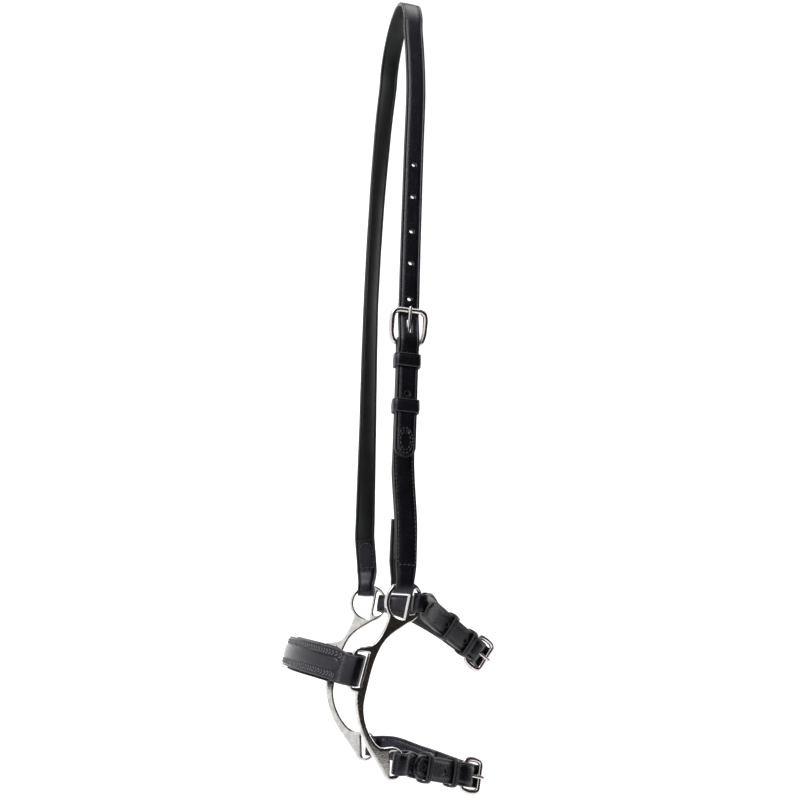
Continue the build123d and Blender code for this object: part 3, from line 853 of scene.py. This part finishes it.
buckle("head", "headpiece", HEAD, HEAD_REACH, 3.9, 0.75, (-14.5, -49.0, 10.0), "head_tongue", "head_runner")
buckle("upper_chin", "upper_chin", UPPER, CHIN_REACH, 2.2, 0.4, (-9.5, -34.5, 5.0), "upper_chin_tongue",
       "upper_chin_runner")
buckle("lower_chin", "lower_chin", LOWER, CHIN_REACH, 2.2, 0.4, (-14.5, -42.0, 5.0), "lower_chin_tongue",
       "lower_chin_runner")


# ---- chin straps --------------------------------------------------------------------------
BEND_R = 5.0
BEND_START = CHIN_REACH + 1.5


def chin_strap(name, place, loop, far_loop, fold_w, back, straight, tip, tip_rise, spots, middles,
               lap_share=0.0):
    """Near half, doubled, with the buckle; far half, single, that runs through it."""
    across = -place.y
    stations = [(place.at(x, 0, LAID), across, STRAP_W)
                for x in (-14.0, straight * 0.6, straight + 7, straight)]
    stations += loop_stations(loop, -loop.y, back, *CHIN_FOLD, fold_w)
    stations += [(place.at(x, 0, -LAID), across, STRAP_W)
                 for x in (straight, straight + 7, straight * 0.6, -14.0)]
    stations += chape_stations(place, across)
    track = Track(stations, step=1.3, closed=True)
    near = strap(name + "_near", track, layer, STRAP_FINISH)
    cut_tongue_slot(near, place)
    settle(near, name, "strap_leather", name + "_buckle_strap")
    out = LAYER / 2
    sewing = Thread(pitch=2.7)
    first = track.nearest(place.at(-13, 0, out))
    last = track.nearest(loop.at(9, 0, out))
    inner_first = track.nearest(loop.at(9, 0, -out))
    inner_last = track.nearest(place.at(-13, 0, -out))
    for side in (-EDGE_ROW, EDGE_ROW):
        sewing.row(track, [(first, side), (last, side)], out)
        sewing.row(track, [(inner_first, side), (inner_last, side)], out)
    sewing.row(track, [(last, -EDGE_ROW), (last, EDGE_ROW)], out)
    sewing.row(track, [(inner_first, -EDGE_ROW), (inner_first, EDGE_ROW)], out)

    # far half: lap, fold round the far bar, run to the buckle, bend behind it and lie on the near half
    begin = list(reversed(loop_stations(far_loop, far_loop.y, back, *CHIN_FOLD, fold_w)))
    lap = [(far_loop.at(26, 0, -LAYER), far_loop.y, STRAP_W)]
    if lap_share:
        along = (middles[1] - middles[0]).normalized()
        inwards = (along * far_loop.z.dot(along) - far_loop.z).normalized() * (1.15 * LAYER)
        lap = [(middles[0].lerp(middles[1], lap_share) + inwards, far_loop.y, STRAP_W),
               (middles[0] + inwards, far_loop.y, STRAP_W), (far_loop.at(18, 0, -LAYER), far_loop.y, STRAP_W)]
    run = [(Vector(m), across, STRAP_W) for m in middles]
    centre = (BEND_START, ENTRY - BEND_R)
    away = middles[-1] - place.at(centre[0], 0, centre[1])
    turn = math.degrees(math.atan2(-away.dot(place.x), -away.dot(place.z))) + 90
    bend = arc_stations(place, centre, BEND_R, 90 - turn, 90, across, STRAP_W, pieces=4)
    finish = list(reversed(billet_stations(place, CHIN_REACH, -6.5, tip, across, tip_rise)))
    path = lap + begin + run + bend + finish[1:]
    far_track = Track(path, step=1.3)
    far = strap(name + "_far", far_track, single, STRAP_FINISH, round_tip(False))
    holes = bmesh.new()
    rims = bmesh.new()
    peg_into(holes, place, CHIN_REACH / 2 + 0.1, 0, 3.0, TONGUE_R + 0.35, 9.0, long=5.5)
    for x in spots:
        punch(holes, rims, place, x, BILLET_LIFT, BILLET_LIFT + 0.15, BILLET_T)
    cut(far, holes)
    settle(far, name, "strap_leather", name + "_billet_strap")
    settle(mesh_object(name + "_hole_rims", rims, [edge_finish]), name, "strap_leather")
    end = far_track.length
    high = BILLET_T / 2
    tip_ring = [(end - 2.6, 0), (end - 3.6, 3.4), (end - 6.5, LAP_ROW), (end - 17, LAP_ROW)]
    tip_ring += [(s, -a) for s, a in reversed(tip_ring)]
    sewing.row(far_track, tip_ring, high + 0.05)
    lap_to = far_track.nearest(far_loop.at(9, 0, -LAYER / 2))
    back_from = far_track.nearest(far_loop.at(9, 0, LAYER / 2))
    for side in (-5.6, 5.6):
        sewing.row(far_track, [(3.0, side), (lap_to, side)], high)
        sewing.row(far_track, [(back_from, side), (back_from + 16, side)], high)
    sewing.row(far_track, [(3.0, -5.6), (3.0, 5.6)], high)
    sewing.done(name + "_stitches", name, "strap_leather")


def below_ring(x, y, z):
    return RING + Vector((x, y, z))


upper_near = bar_place(12.5, 0.0, 12.0, 5.0)
upper_far = far_place(bar_place(12.5, 0.0, 20.0, 5.0))
lower_near = bar_place(9.0, -107.0, 12.0, 4.0)
lower_far = far_place(bar_place(9.0, -107.0, 12.0, 2.0))
chin_strap("upper_chin", UPPER, upper_near, upper_far, 13.0, 3.1, -55.0, -66.0, 3.4, (-15.0, -39.0),
           [below_ring(32.0, 36.0, -5.5), below_ring(50.0, 21.0, -16.0), below_ring(62.0, 5.0, -26.0)])
chin_strap("lower_chin", LOWER, lower_near, lower_far, 14.5, 3.0, -53.0, -56.0, 0.0, (-25.0, -47.0),
           [below_ring(38.8, 25.0, -111.5), below_ring(57.0, 10.5, -116.5)], 0.5)


# ---- noseband -----------------------------------------------------------------------------
def nose_circle():
    """Place of the noseband's round part (x forward, z up) and its radius."""
    middle = Vector((NOSE_LOOP.origin.x, 0, NOSE_LOOP.origin.z))
    rise = math.radians(NOSE_RISE)
    forward = Vector((-math.cos(rise), 0, math.sin(rise)))
    end = NOSE_LOOP.at(8.0) - middle
    depth = NOSE_REACH / math.cos(rise) - end.dot(forward)
    radius = (end.y ** 2 + depth ** 2) / (2 * depth)
    centre = middle + forward * (NOSE_REACH / math.cos(rise) - radius)
    return Place(centre, forward, Vector((math.sin(rise), 0, math.cos(rise)))), radius


NOSE, NOSE_R = nose_circle()


def nose_at(angle, radius, up=0.0):
    """Angle from the front, positive towards the near side."""
    side = Vector((0, -1, 0))
    turn = math.radians(angle)
    return NOSE.origin + NOSE.x * (radius * math.cos(turn)) + side * (radius * math.sin(turn)) + NOSE.z * up


near_fold = loop_stations(NOSE_LOOP, NOSE.z, *NOSE_FOLD)
far_nose = far_place(NOSE_LOOP)
far_side_fold = list(reversed(loop_stations(far_nose, NOSE.z, *NOSE_FOLD)))
outer = [(nose_at(a, NOSE_R + LAYER / 2), NOSE.z, NOSE_W) for a in range(-NOSE_ARC, NOSE_ARC + 1, 8)]
inner = [(nose_at(-a, NOSE_R - LAYER / 2), NOSE.z, NOSE_W) for a in range(-NOSE_ARC, NOSE_ARC + 1, 8)]
nose_track = Track(outer + near_fold + inner + far_side_fold, step=1.5, closed=True)
noseband = strap("noseband", nose_track, strap_profile(NOSE_W, LAYER, crease=1.3, groove=0.15), NOSE_FINISH)
settle(noseband, "noseband", "noseband_leather", "noseband_strap")

STRIP_END = 8.5          # distances from the bar along the noseband's loop
BRACKET_END = 5.5
FOLD_RISE = 0.72         # how fast the loop's faces part towards the bar


def face_track(out, ends, width=STRIP_W, step=1.2):
    """Line along the noseband's outer face, or its inner face where out is negative."""
    side = 1 if out > 0 else -1

    def on_loop(place, x):
        return place.at(x, 0, side * (LAYER + FOLD_RISE * max(0.0, 8.0 - x)) + out)

    line = [on_loop(far_nose, x) for x in ends]
    line += [nose_at(a, NOSE_R + side * LAYER + out) for a in range(-NOSE_ARC, NOSE_ARC + 1, 6)]
    line += [on_loop(NOSE_LOOP, x) for x in reversed(ends)]
    return Track([(p, NOSE.z, width) for p in line], step)


strip_track = face_track(0.01, (STRIP_END,))
half_dome = [(STRIP_W / 2, -0.3), (STRIP_W / 2 - 0.1, 0.3), (4.05, 0.72), (3.4, 0.92), (1.8, 1.05)]
dome = [(-a, n, GRAIN) for a, n in half_dome] + [(0, 1.1, GRAIN)]
dome += [(a, n, GRAIN) for a, n in reversed(half_dome)]


def bracket_ends(s, total):
    """Both ends of the strip narrow to a blunt point."""
    left = min(s, total - s)
    return 0.35 + 0.65 * min(1.0, left / 5.0) ** 0.6, min(1.0, 0.3 + 0.7 * left / 4.0)


strip = strap("noseband_strip", strip_track, dome, [strip_leather], bracket_ends)
settle(strip, "noseband", "noseband_leather", "noseband_raised_strip")

sewing = Thread(pitch=1.9, radius=0.3)
stroke_pitch = 2.5
count = int(strip_track.length / stroke_pitch)
for k in range(count + 1):
    s = k * strip_track.length / count
    face = (strip_track.at(s, 0, 1) - strip_track.at(s)).normalized()
    for side in (1, -1):
        for lean, near_a, far_a in ((0.85, 5.1, 6.7), (-0.85, 6.9, 8.5)):
            start = strip_track.at(s - lean, side * near_a, 0.08)
            end = strip_track.at(s + lean, side * far_a, 0.08)
            capsule_into(sewing.bm, start, end, face, 0.42)
end_track = face_track(0.01, (BRACKET_END, STRIP_END))
shift = (end_track.length - strip_track.length) / 2
for s, bow in ((shift - 1.8, 1.0), (end_track.length - shift + 1.8, -1.0)):
    corners = [(s + bow * 0.9 * (math.cos(a / 8.6 * math.pi) - 1), a)
               for a in (-8.6, -6.4, -4.3, 0, 4.3, 6.4, 8.6)]
    sewing.row(end_track, corners, 0.05, gap=0.4)
# the noseband's stitches use the lighter thread, whose colour is painted glint
sewing.done("noseband_stitches", "noseband", "noseband_leather", nose_thread_painted_glint)

pad_half = PAD_W / 2
pad_profile = [(-pad_half, 0.6), (-pad_half + 0.3, -0.2), (-pad_half + 1.6, -0.35), (-8, -0.2), (-4, -0.1),
               (0, -0.1), (4, -0.1), (8, -0.1), (9.6, -0.4), (10.6, -0.5), (pad_half - 0.2, -1.0),
               (pad_half, -1.8), (pad_half - 0.3, -2.7), (pad_half - 1.6, -3.6), (7.5, -4.6), (4, -5.1),
               (0, -5.3), (-4, -5.1), (-8, -4.4), (-pad_half + 1.2, -3.2), (-pad_half - 0.4, -1.9),
               (-pad_half - 0.7, -0.4)]
pad_track = face_track(-0.05, (), width=PAD_W)
base = bmesh.new()


def pad_ends(s, total):
    """The padding is drawn thin and a little narrower where it is sewn down at its ends."""
    left = min(s, total - s)
    return 0.8 + 0.2 * min(1.0, left / 5.0) ** 0.5, 0.25 + 0.75 * min(1.0, left / 6.0) ** 0.5


rings = ribbon_into(base, pad_track, [(a, n, GRAIN) for a, n in pad_profile], pad_ends, wobble=0.35)
for i, ring in enumerate(rings):
    for (a, n), vertex in zip(pad_profile, ring):
        pucker = 0.28 * math.sin(pad_track.lengths[i] * 1.15) * max(0.0, abs(a) / pad_half - 0.6)
        vertex.co += pad_track.normals[i] * pucker
padding = mesh_object("noseband_padding_roll", base, [pad_leather], 80)
smooth = padding.modifiers.new("smooth", "SUBSURF")
smooth.levels = smooth.render_levels = 1
settle(padding, "noseband", "padding_leather", "noseband_padding")


# ---- cheeks -------------------------------------------------------------------------------
def rounded_cheek(name, node, mirror):
    """The flat cast cheek with its edges rolled and polished."""
    local = CHEEK.matrix()
    local.translation *= MM
    turn = Matrix.Scale(-1, 4, (0, 1, 0)) if mirror else Matrix.Identity(4)
    mesh = frame["nodes"][node].data.copy()
    mesh.transform((turn @ local).inverted())
    obj = linked(name, mesh)
    obj.data.materials.clear()
    remesh = obj.modifiers.new("remesh", "REMESH")
    remesh.mode = "VOXEL"
    remesh.voxel_size = 0.36 * MM
    remesh.use_smooth_shade = True
    polish = obj.modifiers.new("polish", "SMOOTH")
    polish.factor = 0.5
    polish.iterations = 22
    bpy.context.view_layer.update()
    shaped = bpy.data.meshes.new_from_object(obj.evaluated_get(bpy.context.evaluated_depsgraph_get()))
    obj.modifiers.clear()
    obj.data = shaped
    shaped.transform(turn @ local)
    if mirror:
        shaped.flip_normals()
    shaped.polygons.foreach_set("use_smooth", [True] * len(shaped.polygons))
    shaped.materials.append(cheek_steel)
    settle(obj, "cheeks", "polished_steel", node)


rounded_cheek("near_cheek_plate", "near_cheek", False)
rounded_cheek("far_cheek_plate", "far_cheek", True)


# ---- floor, light and camera --------------------------------------------------------------
low, high = cad_box


def backdrop():
    """A pale floor that curves up into a low wall all round."""
    n = Nodes("pale_floor")
    n.colour(n.ramp(n.noise(300.0, 2.0), [(0.3, (0.90, 0.90, 0.90)), (0.7, (0.93, 0.93, 0.93))]))
    n.put(Roughness=0.9, Emission_Color=(1.0, 1.0, 1.0, 1.0), Emission_Strength=0.36)
    bm = bmesh.new()
    drop, floor_r, cove_r, sides = 450.0, 2300.0, 900.0, 72
    floor = low.z / MM - drop
    lines = [(1.0, 0.0), (1500.0, 0.0), (floor_r, 0.0)]
    lines += [(floor_r + cove_r * sin_deg(g), cove_r - cove_r * cos_deg(g))
              for g in range(10, 91, 10)]
    lines += [(floor_r + cove_r, 2400.0), (floor_r + cove_r, 4200.0)]
    rings = []
    for r, z in lines:
        rings.append([bm.verts.new((r * math.cos(2 * math.pi * k / sides),
                                    r * math.sin(2 * math.pi * k / sides),
                                    floor + z))
                      for k in range(sides)])
    bridge(bm, rings)
    bm.faces.new(rings[0])
    obj = mesh_object("floor", bm, [n.material], 180)


def soft_light(name, azimuth, elevation, distance, size, power, colour=(1, 1, 1)):
    """Area light aimed at the middle of the object; azimuth 0 is the near side."""
    middle = (low + high) / 2
    a, e = math.radians(azimuth), math.radians(elevation)
    back = Vector((math.sin(a) * math.cos(e), -math.cos(a) * math.cos(e), math.sin(e)))
    data = bpy.data.lights.new(name, "AREA")
    data.shape = "RECTANGLE"
    data.size, data.size_y = size
    data.energy = power
    data.color = colour
    lamp = linked(name, data)
    lamp.location = middle + back * distance
    lamp.rotation_euler = (-back).to_track_quat("-Z", "Y").to_euler()


def dark_flag(radius, start, end, below, above):
    """A dark curved screen that only reflections see, so that polished faces show light and shade."""
    n = Nodes("dark_screen")
    n.colour(n.ramp(n.noise(200.0, 2.0), [(0.3, (0.020, 0.017, 0.015)), (0.7, (0.032, 0.027, 0.024))]))
    n.put(Roughness=1.0, Specular_IOR_Level=0.0)
    middle = (low + high) / 2
    bm = bmesh.new()
    columns = []
    for k in range(25):
        a = math.radians(start + (end - start) * k / 24)
        columns.append([bm.verts.new((middle.x + radius * math.sin(a), middle.y - radius * math.cos(a),
                                      middle.z + z))
                        for z in (below, above)])
    for left, right in zip(columns, columns[1:]):
        bm.faces.new((left[0], right[0], right[1], left[1]))
    mesh = bpy.data.meshes.new("dark_screen")
    bm.to_mesh(mesh)
    mesh.materials.append(n.material)
    obj = linked("dark_screen", mesh)
    obj.visible_camera = False


backdrop()
dark_flag(1.35, -18, 84, -1.0, 1.3)
soft_light("key", -38, 40, 1.7, (1.0, 1.0), 24)
soft_light("side", 104, 12, 1.8, (0.4, 1.5), 9, (1.0, 0.98, 0.97))
soft_light("rim", 172, 35, 1.8, (1.2, 0.8), 14)
soft_light("top", 0, 88, 1.6, (1.0, 1.0), 8)

world = bpy.data.worlds.new("studio")
world.use_nodes = True
world.node_tree.nodes["Background"].inputs["Color"].default_value = (1.0, 1.0, 1.0, 1.0)
world.node_tree.nodes["Background"].inputs["Strength"].default_value = 0.3
bpy.context.scene.world = world


def main_camera():
    """The main view: from the near side, a little below the middle, looking up and forwards."""
    azimuth, pitch, roll = math.radians(-13.72), math.radians(13.48), math.radians(2.47)
    forward = Vector((-math.sin(azimuth) * math.cos(pitch), math.cos(azimuth) * math.cos(pitch),
                      math.sin(pitch)))
    level = Vector((math.cos(azimuth), math.sin(azimuth), 0))
    right = level * math.cos(roll) + level.cross(forward) * math.sin(roll)
    data = bpy.data.cameras.new("camera")
    data.lens = 41.35      # fitted, in millimetres on a 36 mm frame
    data.clip_start = 0.02
    camera = linked("camera", data)
    turn = Matrix((right, right.cross(forward), -forward)).transposed().to_4x4()
    from_rings = Vector((-0.1617, -0.6825, -0.0124))
    turn.translation = RING * MM + from_rings
    camera.matrix_world = turn
    bpy.context.scene.camera = camera


main_camera()
bpy.context.scene.view_settings.view_transform = "Standard"
